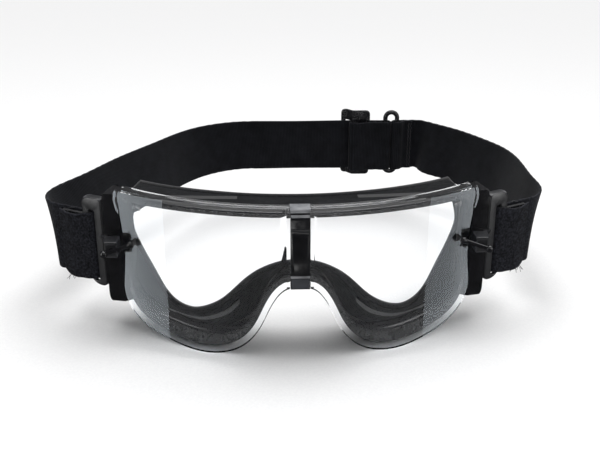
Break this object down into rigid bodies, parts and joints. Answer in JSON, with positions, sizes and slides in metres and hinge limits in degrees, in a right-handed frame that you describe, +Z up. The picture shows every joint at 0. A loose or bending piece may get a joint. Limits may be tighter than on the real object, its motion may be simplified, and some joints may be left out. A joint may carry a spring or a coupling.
{
  "type": "sports protective goggles",
  "caption": "Wrap-round goggles: clear one-piece lens on a soft frame, centre clip, side toggles and an adjustable elastic head strap.",
  "frame": {"origin": "on the mirror plane, in the middle of the face seal's opening, level with the middle of the strap where it meets the frame", "axes": "+X to the wearer's left (right as seen from the front), +Y back towards the wearer, +Z up"},
  "size_m": [0.2878, 0.2538, 0.0811],
  "materials": {
    "clear_lens": "clear polycarbonate, polished",
    "seal_rubber": "soft seal",
    "gloss_black": "glossy moulded plastic",
    "face_seal": "soft black lip",
    "soft_grey": "matte soft frame",
    "vent_foam": "open-cell foam",
    "steel_pin": "plain pin",
    "matte_black": "fine matte moulding",
    "strap_webbing": "ribbed woven elastic",
    "buckle_black": "satin moulded plastic",
    "hook_tape": "hook tape",
    "thread": "polyester thread"
  },
  "bodies": {
    "frame": {"lens": "clear_lens", "lens_gasket": "seal_rubber", "front_rim": "gloss_black", "face_foam": "face_seal", "soft_frame": "soft_grey", "vent_filter_top_right": "vent_foam", "vent_filter_top_left": "vent_foam", "vent_filter_bottom_right": "vent_foam", "vent_filter_bottom_left": "vent_foam", "centre_clip_pin": "steel_pin", "toggle_post_right": "gloss_black", "toggle_post_left": "gloss_black", "outrigger_right": "matte_black", "outrigger_left": "matte_black", "strap_right": "strap_webbing", "strap_left": "strap_webbing", "strap_return": "strap_webbing", "oval_ring": "buckle_black", "hook_patch_right": "hook_tape", "hook_patch_left": "hook_tape", "ring_loop_stitching": "thread"},
    "clip": {"centre_clip": "gloss_black"},
    "right_toggle": {"toggle_right": "gloss_black", "toggle_washer_right": "steel_pin"},
    "left_toggle": {"toggle_left": "gloss_black", "toggle_washer_left": "steel_pin"},
    "adjuster_slider": {"slider": "buckle_black"}
  },
  "joints": [
    {"name": "clip_hinge", "type": "hinge", "parent": "frame", "child": "clip", "pos_m": [0, -0.0385, 0.0303], "axis": [-1, 0, 0], "range_deg": [0, 75]},
    {"name": "right_toggle_turn", "type": "hinge", "parent": "frame", "child": "right_toggle", "pos_m": [0.096, -0.0216, 0.0034], "axis": [0, 1, 0], "range_deg": [0, 90]},
    {"name": "left_toggle_turn", "type": "hinge", "parent": "frame", "child": "left_toggle", "pos_m": [-0.096, -0.0216, 0.0034], "axis": [0, -1, 0], "range_deg": [0, 90]},
    {"name": "slider_slide", "type": "slide", "parent": "frame", "child": "adjuster_slider", "axis": [-1, 0, 0], "range_m": [0, 0.05], "deforming": ["strap_return"]}
  ]
}
